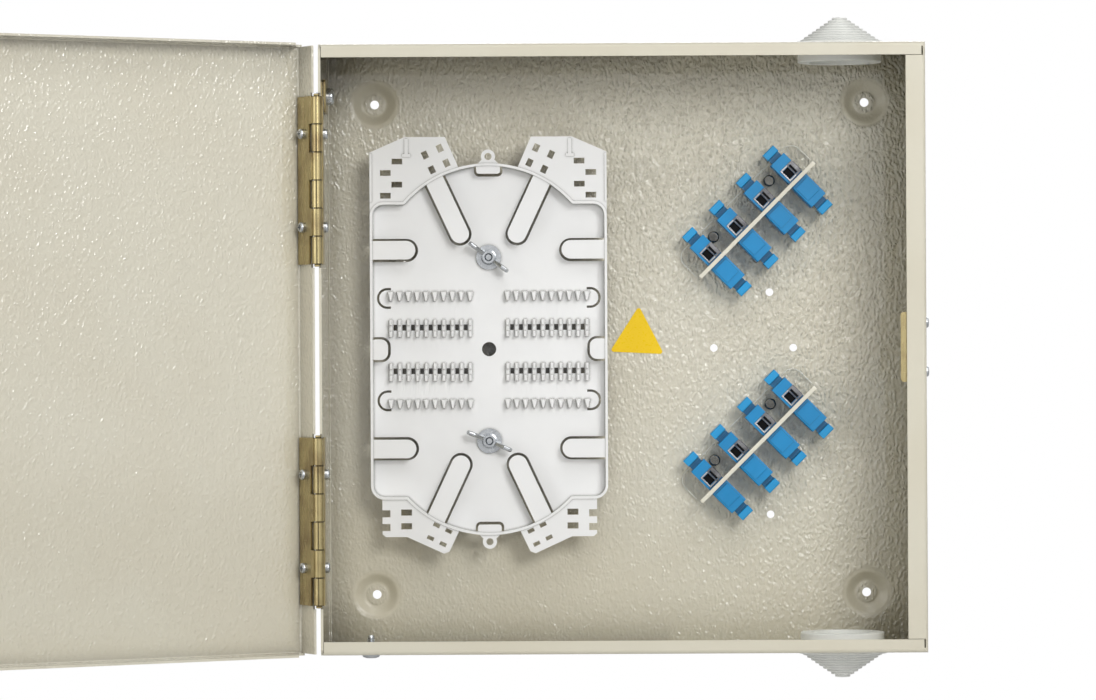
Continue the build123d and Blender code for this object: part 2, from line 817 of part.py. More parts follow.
def tapered_rib(u, low, high):
    """One comb finger: wide at the floor and narrow at its tip."""
    profile = closed_face(((-comb_base / 2, 0), (comb_base / 2, 0), (comb_tip / 2, comb_height),
                           (-comb_tip / 2, comb_height)))
    rib = extrude(profile, amount=high - low)
    frame = Plane(origin=(u, low, tray_face), x_dir=(1, 0, 0), z_dir=(0, -1, 0))
    return Pos(0, high - low, 0) * (frame * rib)


def wedge_finger(u, low, high):
    """One finger of the outer rows: broad at its upper end and slim at its lower end."""
    plan = closed_face(((u - finger_root / 2, high), (u - finger_end / 2, low),
                        (u + finger_end / 2, low), (u + finger_root / 2, high)))
    return extrude(Plane.XY.offset(tray_face) * plan, amount=comb_height, taper=finger_taper)


def splice_combs():
    """Rows of fingers that hold the splice sleeves, on one side; x is u, y is v, z is height."""
    combs = []
    for u in comb_places():
        for low, high in outer_comb_rows:
            combs.append(wedge_finger(u, low, high))
        for low, high in inner_comb_rows:
            middle = (low + high) / 2
            gap = Pos(u, middle, tray_face + comb_block_height + comb_height / 2)
            combs.append(tapered_rib(u, low, high) - gap * Box(2 * comb_base, comb_gap, comb_height))
    return combs


def splice_tray():
    """The tray is made lying flat, with z as the height from the wall, and then stood up."""
    body = tray_body()
    inside = offset(body, amount=-tray_wall)
    holes = tray_tongues(slot_width) + hook_slots() + comb_windows() + Circle(centre_hole_radius)
    for turn in (1, -1):
        holes += Pos(0, turn * tray_stud_v) * Circle(stud_radius + stud_hole_clearance)
    tray = extrude(Plane.XY.offset(tray_under) * (body - inside), amount=tray_depth)
    tray += extrude(Plane.XY.offset(tray_under) * (inside - holes), amount=tray_floor)
    rim = both_sides(upper_wing() + lower_wing()) + centre_tab(1) + centre_tab(-1) - inside
    tray += extrude(Plane.XY.offset(tray_shelf - wing_plate) * rim, amount=wing_plate)
    raised = both_sides(wing_raised_parts())
    tray += extrude(Plane.XY.offset(tray_shelf) * raised, amount=tray_ridge)
    tongues = tray_tongues(0) & offset(body, amount=-tray_wall / 2)
    tray += extrude(Plane.XY.offset(tray_shelf - tongue_plate) * tongues, amount=tongue_plate)
    combs = splice_combs()
    tray = tray.fuse(*combs, *[mirror(comb, Plane.YZ) for comb in combs])
    stand = Plane(origin=(tray_x, 0, tray_z), x_dir=(1, 0, 0), z_dir=(0, -1, 0))
    return stand * tray


# Studs, spacers, washers and wing nuts of the tray
def tray_studs():
    studs = []
    for x, z in tray_stud_places():
        shank = rod(stud_radius, panel_back, panel_back + stud_length)
        shank = chamfer(shank.edges().group_by(Axis.Z)[-1], stud_chamfer)
        studs.append(along((x, 0, z), (0, -1, 0), shank))
    return studs


def tray_spacers():
    spacers = []
    for x, z in tray_stud_places():
        ring = rod(spacer_radius, panel_face, tray_under)
        ring -= rod(stud_radius + stud_clearance, 0, tray_rim)
        spacers.append(along((x, 0, z), (0, -1, 0), ring))
    return spacers


def tray_washers():
    washers = []
    for x, z in tray_stud_places():
        ring = rod(washer_radius, tray_face, nut_seat)
        ring -= rod(stud_radius + stud_clearance, 0, tray_rim)
        washers.append(along((x, 0, z), (0, -1, 0), ring))
    return washers


def wing_nut(z, angle):
    """A wing nut: a conical boss and two upswept wings. The angle is counted from +X."""
    boss = Cone(wing_boss_radius, wing_boss_tip_radius, wing_boss_height,
                align=(Align.CENTER, Align.CENTER, Align.MIN))
    outline = Plane.XZ.offset(-wing_thickness / 2) * closed_face(wing_points)
    blade = extrude(outline, amount=wing_thickness)
    rim = blade.edges().group_by(Axis.Y)
    tip = [edge for edge in rim[0] + rim[-1] if edge.center().X > wing_boss_radius]
    blade = fillet(tip, wing_round)
    nut = boss + blade + Rot(0, 0, 180) * blade
    nut -= rod(stud_radius + running_fit, -1, 2 * wing_boss_height)
    seat = Plane(origin=point(tray_x, nut_seat, z), x_dir=(1, 0, 0), z_dir=(0, -1, 0))
    return seat * (Rot(0, 0, angle) * nut)


# Adapter brackets, drawn in their own frame and then moved to their place
def in_bracket(bracket_z, solid):
    """Moves a solid with x along the plate, y along the foot and z as height from the wall."""
    stand = Plane(origin=(0, 0, 0), x_dir=(1, 0, 0), z_dir=(0, -1, 0))
    return stand * (bracket_frame(bracket_z) * solid)


def adapter_places():
    return [adapter_start + i * adapter_pitch for i in range(adapter_count)]


def block(width, length, tall, x, y, z):
    return Pos(x, y, z) * Box(width, length, tall)


def adapter_bracket(bracket_z):
    half = bracket_sheet / 2
    foot = Pos(bracket_length / 2, bracket_foot / 2 - half) * Rectangle(bracket_length, bracket_foot)
    far = foot.vertices().group_by(Axis.Y)[-1]
    foot = fillet(far, bracket_corner_radius)
    solid = extrude(Plane.XY.offset(panel_face) * foot, amount=bracket_sheet)
    plate = Pos(bracket_length / 2, 0, panel_face + bracket_height / 2)
    solid += plate * Box(bracket_length, bracket_sheet, bracket_height)
    top_corners = solid.edges().filter_by(Axis.Y).group_by(Axis.Z)[-1]
    solid = fillet(top_corners, bracket_top_radius)
    bend = solid.edges().filter_by(Axis.X).group_by(Axis.Z)[0].sort_by(Axis.Y)[0]
    solid = fillet(bend, bracket_bend_radius)
    for x in adapter_places():
        solid -= block(adapter_width + 2 * adapter_fit, 4 * bracket_sheet,
                       adapter_tall + 2 * adapter_fit, x, 0, adapter_centre)
    for i in range(2):
        spot = Pos(bracket_screw_start + i * bracket_screw_spacing, bracket_screw_offset, 0)
        solid -= spot * rod(bracket_screw_radius + bracket_screw_clearance, 0, 4 * panel_face)
    return in_bracket(bracket_z, solid)


def bracket_screws():
    screws = []
    for bracket_z in brackets.values():
        for x, z in bracket_screw_places(bracket_z):
            screw = pan_screw(bracket_screw_head_radius, bracket_screw_head_height, bracket_screw_radius,
                              bracket_sheet + sheet + bracket_screw_reach)
            screws.append(along(point(x, panel_face + bracket_sheet, z), (0, -1, 0), screw))
    return screws


def fibre_adapter(bracket_z, x):
    """A coupling body with a port at each end, a latch window and a raised outline."""
    half = bracket_sheet / 2
    top = adapter_tall / 2
    clip_end = half + adapter_clip_side
    plain_end = half + adapter_plain_side
    thin = block(adapter_width, clip_end + half, adapter_tall, 0, (clip_end - half) / 2, 0)
    wide = adapter_width + 2 * adapter_shoulder
    tall = adapter_tall + 2 * adapter_shoulder
    thick = block(wide, adapter_plain_side, tall, 0, -half - adapter_plain_side / 2, 0)
    thick = fillet(thick.edges().filter_by(Axis.Y), adapter_round)
    frame_length = adapter_plain_side - outline_near - outline_far
    outline = block(wide - 2 * outline_side, frame_length, raised_outline, 0,
                    -half - outline_near - frame_length / 2,
                    top + adapter_shoulder + raised_outline / 2)
    body = thin + thick + outline
    for end, turn in ((clip_end, 1), (plain_end, -1)):
        depth = 2 * port_depth
        body -= block(port_width, depth, port_tall, 0, turn * end, 0)
    sleeve = Plane(origin=(0, -plain_end, 0), z_dir=(0, 1, 0)) * rod(sleeve_radius, 0, 2 * plain_end)
    body -= sleeve
    window_y = half + clip_gap + clip_length / 2
    body -= block(clip_window_width, clip_window_length, 2 * clip_recess, clip_window_shift,
                  window_y, top)
    return in_bracket(bracket_z, Pos(x, 0, adapter_centre) * body)


def adapter_clips(bracket_z):
    """Sprung steel clips that straddle the thin half of each adapter."""
    clips = []
    half = bracket_sheet / 2
    middle = half + clip_gap + clip_length / 2
    side = adapter_width / 2 + clip_sheet / 2
    top = adapter_tall / 2 + clip_sheet / 2
    for x in adapter_places():
        clip = block(adapter_width + 2 * clip_sheet, clip_length, clip_sheet, 0, middle, top)
        for width, shift in ((clip_window_width, clip_window_shift), (clip_slot_width, clip_slot_shift)):
            clip -= block(width, clip_window_length, 4 * clip_sheet, shift, middle, top)
        for turn in (1, -1):
            clip += block(clip_sheet, clip_length - clip_side_inset, clip_drop, turn * side, middle,
                          top + clip_sheet / 2 - clip_drop / 2)
            flare = Pos(turn * side, middle - clip_side_inset / 2, top - clip_drop / 2)
            flare *= Rot(0, 0, -turn * clip_flare_angle)
            clip += flare * Box(clip_sheet, clip_length - clip_flare_inset, clip_drop / 2)
        clip -= block(adapter_width, 3 * clip_length, adapter_tall, 0, middle, 0)
        clips.append(in_bracket(bracket_z, Pos(x, 0, adapter_centre) * clip))
    return clips


def dust_cap(bracket_z, x, turn):
    """A cap pushed into one port: plug, neck and grip. turn is +1 on the clip side."""
    half = bracket_sheet / 2
    end = half + (adapter_clip_side if turn > 0 else adapter_plain_side)
    plug = block(port_width - 2 * cap_plug_clearance, cap_plug_length, port_tall - 2 * cap_plug_clearance,
                 0, end - cap_plug_length / 2, 0)
    neck = block(cap_neck_width, cap_neck_length, cap_neck_tall, 0, end + cap_neck_length / 2, 0)
    head = block(cap_head_width, cap_head_length, cap_head_tall, 0,
                 end + cap_neck_length + cap_head_length / 2, 0)
    head = fillet(head.edges().filter_by(Axis.X), cap_head_round)
    cap = plug + neck + head
    facing = Rot(0, 0, 0) if turn > 0 else Rot(0, 0, 180)
    return in_bracket(bracket_z, Pos(x, 0, adapter_centre) * (facing * cap))


# Marker sticker on the back panel
def marker_sticker():
    triangle = RegularPolygon(marker_side / 3 ** 0.5, 3, rotation=90)
    triangle = fillet(triangle.vertices(), marker_corner_radius)
    place = Pos(marker_x, marker_z) * Rot(0, 0, marker_turn)
    return slab(place * triangle, panel_face, panel_face + marker_thickness)


def write(name, solids):
    """Writes one node; several like solids share a node as a group."""
    if isinstance(solids, list):
        shape = Compound(children=[s.solid() if len(s.solids()) == 1 else s for s in solids])
    else:
        shape = solids.solid() if len(solids.solids()) == 1 else solids
    export_step(shape, os.path.join("parts", name + ".step"))


os.makedirs("parts", exist_ok=True)
box_knuckles = (1, 3, 5)
door_knuckles = (0, 2, 4)
write("enclosure_shell", enclosure_shell())
write("door_shell", door_place(door_shell()))
for name, hinge_z in hinges.items():
    write(name + "_hinge_box_leaf", hinge_leaf(hinge_z, box_knuckles, -1))
    write(name + "_hinge_door_leaf", door_place(hinge_leaf(hinge_z, door_knuckles, 1)))
    write(name + "_hinge_pin", hinge_pin(hinge_z))
write("box_leaf_screws", leaf_screws(-1))
write("door_leaf_screws", [door_place(screw) for screw in leaf_screws(1)])
write("lock_barrel", door_place(lock_barrel()))
write("lock_nut", door_place(lock_nut()))
write("lock_plug", door_place(lock_plug()))
write("lock_cam", door_place(lock_cam()))
write("lock_cam_screw", door_place(lock_cam_screw()))
write("lock_catch_plate", lock_catch_plate())
write("catch_plate_rivets", catch_plate_rivets())
write("top_cable_grommet", placed_grommet(1))
write("bottom_cable_grommet", placed_grommet(-1))
write("earth_screw", earth_screw())
write("bonding_plate", bonding_plate())
write("bonding_screw", bonding_screw())
write("splice_tray", splice_tray())
write("tray_studs", tray_studs())
write("tray_spacers", tray_spacers())
write("tray_washers", tray_washers())
write("wing_nut_upper", wing_nut(tray_z + tray_stud_v, upper_wing_angle))
write("wing_nut_lower", wing_nut(tray_z - tray_stud_v, lower_wing_angle))
write("bracket_screws", bracket_screws())
write("marker_sticker", marker_sticker())
for name, bracket_z in brackets.items():
    write("adapter_bracket_" + name, adapter_bracket(bracket_z))
    write("adapter_clips_" + name, adapter_clips(bracket_z))
    for number, x in enumerate(adapter_places(), start=1):
        write("adapter_" + name + "_" + str(number), fibre_adapter(bracket_z, x))
        write("clip_side_cap_" + name + "_" + str(number), dust_cap(bracket_z, x, 1))
        write("plain_side_cap_" + name + "_" + str(number), dust_cap(bracket_z, x, -1))
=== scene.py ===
# %% [markdown]
# A wall-mount fibre distribution box, dressed around its CAD frame. The real box is a folded
# steel case with a textured powder coat. Inside it are a moulded splice tray, two clear brackets
# with blue fibre couplings, and plated hinges and screws. The CAD pieces already have the real
# form, so this lesson gives each one its finish, adds the small turned and pressed parts that
# need a finer mesh, and lights the box as a studio would.

# %% Load the frame
import json
from math import cos, pi, radians, sin

import bmesh
import bpy
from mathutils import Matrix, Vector


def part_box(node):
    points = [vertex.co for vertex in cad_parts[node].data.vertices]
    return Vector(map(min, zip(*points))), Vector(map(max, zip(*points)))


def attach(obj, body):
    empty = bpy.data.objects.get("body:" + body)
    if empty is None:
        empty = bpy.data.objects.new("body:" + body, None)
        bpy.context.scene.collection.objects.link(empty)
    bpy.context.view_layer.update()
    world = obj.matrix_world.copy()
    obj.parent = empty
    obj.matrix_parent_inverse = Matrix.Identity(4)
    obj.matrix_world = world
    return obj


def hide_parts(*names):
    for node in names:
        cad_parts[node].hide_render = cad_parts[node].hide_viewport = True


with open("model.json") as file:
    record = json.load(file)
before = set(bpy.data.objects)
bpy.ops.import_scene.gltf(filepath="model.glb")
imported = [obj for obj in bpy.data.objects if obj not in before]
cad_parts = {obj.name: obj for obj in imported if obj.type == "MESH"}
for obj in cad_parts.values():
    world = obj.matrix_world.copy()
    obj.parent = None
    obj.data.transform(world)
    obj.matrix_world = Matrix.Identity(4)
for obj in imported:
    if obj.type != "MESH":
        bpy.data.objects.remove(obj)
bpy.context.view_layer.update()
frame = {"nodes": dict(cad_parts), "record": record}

MM = 0.001
nodes = frame["nodes"]
slot_of_node = {part["node"]: part["material_slot"] for part in frame["record"]["subparts"]}
body_of_node = {name: body for body, names in frame["record"]["behaviour"]["bodies"].items()
                for name in names}

# %% [markdown]
# The photograph was taken with a long lens from about 2.3 metres, almost square to the box and a
# little left of its middle. A short lens close by would show the same face, but the walls would
# splay outwards. So the camera stands far off with a long lens, level with the middle of the box,
# and leans by a third of a degree, as the photograph does.

# %% Camera
CAMERA_PLACE = Vector((-37.1, -2301.0, -0.6)) * MM
CAMERA_SENSOR = 36.0
CAMERA_LENS = 147.9
CAMERA_LEAN = radians(0.3)


def put_in_scene(name, data):
    item = bpy.data.objects.new(name, data)
    bpy.context.scene.collection.objects.link(item)
    return item


camera_data = bpy.data.cameras.new("camera")
camera_data.sensor_width = CAMERA_SENSOR
camera_data.lens = CAMERA_LENS
camera = put_in_scene("camera", camera_data)
camera.location = CAMERA_PLACE
camera.rotation_euler = (radians(90), CAMERA_LEAN, 0)
bpy.context.scene.camera = camera
print("camera", tuple(round(v, 4) for v in camera.location))

# %% [markdown]
# Shader maths reads best as plain sums. A small class wraps a node's output, and adding or
# multiplying two wraps adds the Math node that does it. Every other node comes from one method
# that takes its kind, its settings and its inputs.

# %% A wire that can be used in sums
class Wire:
    """A node's output, usable in sums with numbers and other wires."""

    def __init__(self, owner, socket):
        self.owner = owner
        self.socket = socket

    def maths(self, operation, *values):
        return self.owner.node("ShaderNodeMath", {"operation": operation},
                               dict(enumerate(values)))

    def __add__(self, other):
        return self.maths("ADD", self, other)

    def __radd__(self, other):
        return self.maths("ADD", other, self)

    def __sub__(self, other):
        return self.maths("SUBTRACT", self, other)

    def __rsub__(self, other):
        return self.maths("SUBTRACT", other, self)

    def __mul__(self, other):
        return self.maths("MULTIPLY", self, other)

    def __rmul__(self, other):
        return self.maths("MULTIPLY", other, self)

    def __truediv__(self, other):
        return self.maths("DIVIDE", self, other)

    def __pow__(self, other):
        return self.maths("POWER", self, other)

    def above(self, level):
        return self.maths("GREATER_THAN", self, level)

    def either(self, other):
        return self.maths("MAXIMUM", self, other)

    def size(self):
        return self.maths("ABSOLUTE", self)

    def nearest_whole(self):
        return self.maths("ROUND", self)


print("sums of wires are ready")


# %% The nodes of a material or a world
class NodeTree:
    """A node tree, with one method that adds any node to it."""

    def __init__(self, holder):
        holder.use_nodes = True
        self.tree = holder.node_tree

    def connect(self, socket, value):
        if isinstance(value, Wire):
            self.tree.links.new(value.socket, socket)
        else:
            socket.default_value = value

    def node(self, kind, settings=None, sockets=None, out=0):
        """Adds a node: settings first, then the values or links of its sockets."""
        made = self.tree.nodes.new(kind)
        for name, value in (settings or {}).items():
            setattr(made, name, value)
        for name, value in (sockets or {}).items():
            self.connect(made.inputs[name], value)
        return Wire(self, made.outputs[out])

    def show(self, output, wire):
        """Links a wire to the surface of the tree's output node."""
        self.connect(self.tree.nodes[output].inputs["Surface"], wire)


print("node trees are ready")


# %% A finish: one material and the nodes in it
class Finish(NodeTree):
    """A material under construction."""

    def __init__(self, name):
        self.material = bpy.data.materials.new(name)
        super().__init__(self.material)
        self.shader = self.tree.nodes["Principled BSDF"]

    def place(self):
        return self.node("ShaderNodeTexCoord", out="Object")

    def parts_of(self, vector):
        return [self.node("ShaderNodeSeparateXYZ", None, {0: vector}, out) for out in range(3)]

    def normal_parts(self):
        return self.parts_of(self.node("ShaderNodeTexCoord", out="Normal"))

    def stretched(self, vector, scale):
        return self.node("ShaderNodeVectorMath", {"operation": "MULTIPLY"}, {0: vector, 1: scale})

    def shifted(self, vector, by):
        return self.node("ShaderNodeVectorMath", {"operation": "ADD"}, {0: vector, 1: by})

    def noise(self, vector, scale, detail=2.0, roughness=0.5, out=0):
        return self.node("ShaderNodeTexNoise", None,
                         {"Vector": vector, "Scale": scale, "Detail": detail,
                          "Roughness": roughness}, out)

    def smooth(self, value, low, high, to_low=0.0, to_high=1.0):
        """A soft step from to_low, at low, up to to_high, at high."""
        return self.node("ShaderNodeMapRange", {"interpolation_type": "SMOOTHSTEP"},
                         {"Value": value, "From Min": low, "From Max": high, "To Min": to_low,
                          "To Max": to_high})

    def cavity(self, reach, alone=False):
        """How open a point is: 1 on an open face, near 0 deep in a gap narrower than reach.

        With alone set, only the piece's own faces count as walls of the gap.
        """
        return self.node("ShaderNodeAmbientOcclusion", {"samples": 4, "only_local": alone},
                         {"Distance": reach}, "AO")

    def mix(self, mask, first, second):
        return self.node("ShaderNodeMix", {"data_type": "RGBA"}, {0: mask, 6: first, 7: second}, 2)

    def bump(self, height, distance):
        return self.node("ShaderNodeBump", None,
                         {"Height": height, "Distance": distance, "Strength": 1.0})

    def set(self, **values):
        """Sets the shader's sockets: base_color stands for Base Color."""
        for name, value in values.items():
            socket = name.replace("_", " ").title().replace("Ior", "IOR")
            self.connect(self.shader.inputs[socket], value)
        return self.material


def shade(red, green, blue):
    """A colour as a screen shows it, 0 to 255, turned into light."""
    def light(value):
        value = value / 255
        return value / 12.92 if value <= 0.04045 else ((value + 0.055) / 1.055) ** 2.4
    return (light(red), light(green), light(blue), 1)


print("white is", shade(255, 255, 255))

# %% [markdown]
# The case and the door are steel with a glossy, pebble-beige powder coat. The powder melts into
# small rounded lumps, about two millimetres across, that catch the light one by one. Real
# displacement would need millions of faces, so the lumps are a bump: the rounded cells of a
# Voronoi pattern, pushed about by noise, with a finer grain on top.

# %% Lumps of the coat
PEEL_SCALE = 500.0
PEEL_STRETCH = (1.3, 1.0, 0.8)
PEEL_WANDER = 4.0 * MM
PEEL_ROUNDNESS = 0.7
GRAIN_SCALE = 900.0
GRAIN_SHARE = 0.35


def coat_lumps(finish, place, grain):
    """The height of the coat, 0 to about 1."""
    drift = finish.noise(place, 160.0, 1.0, out="Color")
    wander = finish.shifted(finish.stretched(place, PEEL_STRETCH),
                            finish.stretched(drift, (PEEL_WANDER, PEEL_WANDER, PEEL_WANDER)))
    cells = finish.node("ShaderNodeTexVoronoi", {"feature": "SMOOTH_F1"},
                        {"Vector": wander, "Scale": PEEL_SCALE, "Smoothness": PEEL_ROUNDNESS},
                        "Distance")
    return (1.0 - cells) ** 1.6 + grain * GRAIN_SHARE


print("lumps about", 1000 / PEEL_SCALE, "mm across")

# %% [markdown]
# On the real box the coat is nearly smooth on the front lips and in the ring around each pressed
# foot. A second material could do that, but its border would be hard. A mask worked out from the
# place of each point fades the lumps out softly, so two masks are enough.

# %% Smooth places of the coat
CASE_LEFT = 150.3 * MM
LIP_START = 76.6 * MM
LIP_END = 77.0 * MM
FOOT_PLACE = 125.0 * MM
RING_INNER = (4.5 * MM, 6.0 * MM)
RING_OUTER = (11.5 * MM, 13.5 * MM)


def coat_lip(finish, x, y):
    """1 on the case's front lips, 0 elsewhere."""
    return finish.smooth(0.0 - y, LIP_START, LIP_END) * (x + CASE_LEFT).above(0.0)


def coat_ring(finish, x, z):
    """1 on the ring around each pressed foot, 0 elsewhere."""
    away = ((x.size() - FOOT_PLACE) ** 2.0 + (z.size() - FOOT_PLACE) ** 2.0) ** 0.5
    return finish.smooth(away, *RING_INNER) * (1.0 - finish.smooth(away, *RING_OUTER))


print("lips start", round(LIP_START / MM, 1), "mm off the wall")

# %% [markdown]
# Less light reaches the corners of the case and the wall behind the tray. Lamps alone leave those
# places too even, so shade is painted into the coat's colour: it darkens where a point is closed
# in.
# The masks keep the painted corner shade off the door and the darkest painted shade to the tray's
# side of the panel.

# %% Colours of the coat, with painted shade
COAT_COLOUR = shade(214, 209, 191)
COAT_SHADOW = shade(211, 205, 186)
COAT_CORNER_SHADE = shade(160, 154, 132)
COAT_UNDER_TRAY_SHADE = shade(58, 52, 38)
CORNER_REACH = 30.0 * MM
TRAY_SIDE_END = (22.0 * MM, 34.0 * MM)


def coat_colour(finish, place, x):
    cloud = finish.noise(place, 14.0)
    colour = finish.mix(finish.smooth(cloud, 0.35, 0.65), COAT_COLOUR, COAT_SHADOW)
    on_door = (0.0 - x).above(CASE_LEFT)
    # Painted shade near the walls of the case.
    open_corner = finish.smooth(finish.cavity(CORNER_REACH, alone=True) + on_door, 0.35, 0.95)
    colour = finish.mix(open_corner, COAT_CORNER_SHADE, colour)
    # Painted shade on the panel under and beside the tray.
    past_tray = finish.smooth(x, *TRAY_SIDE_END)
    open_place = finish.smooth(finish.cavity(CORNER_REACH) + past_tray, 0.05, 0.62)
    return finish.mix(open_place, COAT_UNDER_TRAY_SHADE, colour)


print("coat colours", 4)

# %% [markdown]
# A powder coat is a base colour under a clear, glossy skin. The shader's coat layer gives that
# skin, and it makes the small glints. The lumps stand higher towards the upper right of the panel
# than low down, where the powder flowed out, so their height follows a slope across the box.

# %% Powder coat
PEEL_DEPTH = 1.80 * MM
PEEL_LEAST = 0.18
PEEL_MOST = 0.66


def powder_coat():
    finish = Finish("powder_coat")
    place = finish.place()
    x, y, z = finish.parts_of(place)
    grain = finish.noise(place, GRAIN_SCALE, 1.0)
    lip = coat_lip(finish, x, y)
    ring = coat_ring(finish, x, z)
    rise = finish.smooth(x * 0.9 + z * 0.8, -0.12, 0.16, PEEL_LEAST, PEEL_MOST)
    rise = rise * (1.0 - lip * 0.97) * (1.0 - ring * 0.9)
    height = coat_lumps(finish, place, grain) * rise
    rough = finish.smooth(grain, 0.3, 0.7, 0.09, 0.14) + ring * 0.2 + lip * 0.3
    return finish.set(base_color=coat_colour(finish, place, x), roughness=rough, ior=1.5,
                      coat_weight=(1.0 - ring) * (1.0 - lip), coat_roughness=0.06,
                      normal=finish.bump(height, PEEL_DEPTH))


painted_steel = powder_coat()
print("finish", painted_steel.name)

# %% [markdown]
# The hinges are pressed steel with a yellow chromate over zinc. Chromate dries in streaks that
# shift from straw to olive and brown, so the colour is two noises, one of them stretched along
# the hinge, and the roughness follows the streaks. The gaps between the knuckles are too thin to
# hold a shadow at this size, so a dark line is drawn at each one, counted from the middle of the
# hinge.

# %% Dark joints between the knuckles
HINGE_MIDDLES = {"upper": 83.8 * MM, "lower": -84.8 * MM}
HINGE_LENGTH = 83.0 * MM
KNUCKLE_PITCH = HINGE_LENGTH / 6
pin_low, pin_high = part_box("upper_hinge_pin")
PIN_X = (pin_low.x + pin_high.x) / 2


def knuckle_joints(finish, place, middle):
    """1 on the joints between a hinge's knuckles, 0 elsewhere."""
    x, y, z = finish.parts_of(place)
    turn = (z - (middle - HINGE_LENGTH / 2)) / KNUCKLE_PITCH
    from_joint = (turn - turn.nearest_whole()).size() * KNUCKLE_PITCH
    joint = 1.0 - finish.smooth(from_joint, 0.15 * MM, 0.5 * MM)
    barrel = 1.0 - finish.smooth((x - PIN_X).size(), 2.4 * MM, 2.7 * MM)
    return joint * barrel


print("knuckles every", round(KNUCKLE_PITCH / MM, 2), "mm")

# %% Yellow chromate
CHROMATE_STRAW = shade(182, 168, 124)
CHROMATE_OLIVE = shade(164, 149, 108)
CHROMATE_BROWN = shade(144, 127, 92)
CHROMATE_JOINT = shade(52, 42, 24)
CHROMATE_PAINTED_SHADE = shade(70, 56, 34)


def yellow_chromate(name, middle=None):
    """middle is the height of a hinge's middle, for its dark joints."""
    finish = Finish(name)
    place = finish.place()
    streaks = finish.noise(finish.stretched(place, (1.0, 1.0, 0.10)), 300.0, 3.0, 0.6)
    clouds = finish.noise(place, 70.0)
    straw = finish.mix(finish.smooth(streaks, 0.25, 0.75), CHROMATE_STRAW, CHROMATE_OLIVE)
    colour = finish.mix(finish.smooth(clouds, 0.42, 0.75), straw, CHROMATE_BROWN)
    if middle is not None:
        colour = finish.mix(knuckle_joints(finish, place, middle), colour, CHROMATE_JOINT)
    # Where the hinge is closed in, its colour darkens to a painted shade.
    open_face = finish.smooth(finish.cavity(2.5 * MM), 0.1, 0.6)
    return finish.set(base_color=finish.mix(open_face, CHROMATE_PAINTED_SHADE, colour), metallic=0.9,
                      roughness=finish.smooth(streaks, 0.3, 0.7, 0.22, 0.34),
                      normal=finish.bump(streaks, 0.012 * MM))


own_finish = {}
for hinge, middle in HINGE_MIDDLES.items():
    hinge_finish = yellow_chromate("chromate_" + hinge, middle)
    for part in ("box_leaf", "door_leaf", "pin"):
        own_finish[hinge + "_hinge_" + part] = hinge_finish
print("hinge pieces", len(own_finish))

# %% [markdown]
# Screws, washers and wing nuts are bright zinc: a grey metal that is a little blue, with a fine
# grain from the plating barrel. The lock is polished chrome and the spring clips are stainless
# strip with rolling lines. One function makes them all, because plated metals differ mostly in
# tone, gloss and grain.

# %% Plated and polished metals
def plated(name, light, dark, rough, grain_scale=700.0):
    finish = Finish(name)
    place = finish.place()
    grain = finish.noise(place, grain_scale)
    clouds = finish.noise(place, 160.0)
    return finish.set(base_color=finish.mix(finish.smooth(clouds, 0.35, 0.65), light, dark),
                      metallic=1.0,
                      roughness=finish.smooth(grain, 0.25, 0.75, rough - 0.05, rough + 0.07),
                      normal=finish.bump(grain, 0.01 * MM))


bright_zinc = plated("bright_zinc", shade(190, 193, 196), shade(176, 179, 182), 0.24)
chrome = plated("polished_chrome", shade(214, 214, 216), shade(198, 198, 200), 0.12)
spring_steel = plated("spring_steel", shade(196, 197, 198), shade(160, 161, 163), 0.22, 1400.0)
clip_steel_in_shade = plated("clip_steel_in_shade", shade(128, 128, 130), shade(96, 96, 98), 0.3, 1400.0)
# The bracket screws take a darker zinc: a painted shade, for the dark surroundings they reflect.
own_finish["bracket_screws"] = plated("zinc_in_painted_shade", shade(116, 116, 112), shade(84, 84, 82), 0.2)
print("metals", 5)

# %% [markdown]
# The dust caps pinch in to a narrow neck between the grip and the coupling, and in the photograph
# each neck is a deep blue. The neck lies lower than the grip and the coupling, in their shade, so
# its blue is a painted shade. All the caps stand in two slanted rows, so one mask can find every
# neck: it measures how far a point is from the middle of its row.

# %% Necks of the dust caps
BRACKET_X = 39.5
BRACKETS = {"upper": 35.1, "lower": -78.6}
BETWEEN_BRACKETS = -22.0
LEAN = sin(radians(45))


def cap_necks(finish, place):
    """1 on the necks of the dust caps, 0 elsewhere."""
    x, y, z = finish.parts_of(place)
    upper_row = z.above(BETWEEN_BRACKETS * MM)
    level = upper_row * ((BRACKETS["upper"] - BRACKETS["lower"]) * MM) + BRACKETS["lower"] * MM
    away = ((z - level - x + BRACKET_X * MM) * LEAN + 0.45 * MM).size()
    return (finish.smooth(away, 13.6 * MM, 13.8 * MM)
            * (1.0 - finish.smooth(away, 16.2 * MM, 16.4 * MM)))


print("rows of caps", 2 * len(BRACKETS))

# %% [markdown]
# Moulded plastic has a very fine spark-eroded grain and a faint unevenness in its gloss, which
# keeps large flat faces from looking drawn. Where one moulding crowds another, little light gets
# in, so a colour may be given a painted shade, a deeper tone, in closed-in places.

# %% Moulded plastics
def moulded(name, colour, rough, grain=1100.0, depth=0.006, tint=0.94, closed_in_shade=None,
            neck_shade=None, specular=0.5):
    """closed_in_shade is a painted shade and the width, in millimetres, of the gaps that take it.
    """
    finish = Finish(name)
    place = finish.place()
    texture = finish.noise(place, grain)
    darker = tuple(level * tint for level in colour[:3]) + (1,)
    tone = finish.mix(finish.smooth(finish.noise(place, 45.0), 0.35, 0.65), colour, darker)
    if closed_in_shade is not None:
        deep, reach = closed_in_shade
        tone = finish.mix(finish.smooth(finish.cavity(reach * MM), 0.25, 0.96), deep, tone)
    # The necks of the dust caps take a painted shade.
    if neck_shade is not None:
        tone = finish.mix(cap_necks(finish, place), tone, neck_shade)
    return finish.set(base_color=tone, specular_ior_level=specular,
                      roughness=finish.smooth(texture, 0.3, 0.7, rough - 0.04, rough + 0.05),
                      normal=finish.bump(texture, depth * MM))


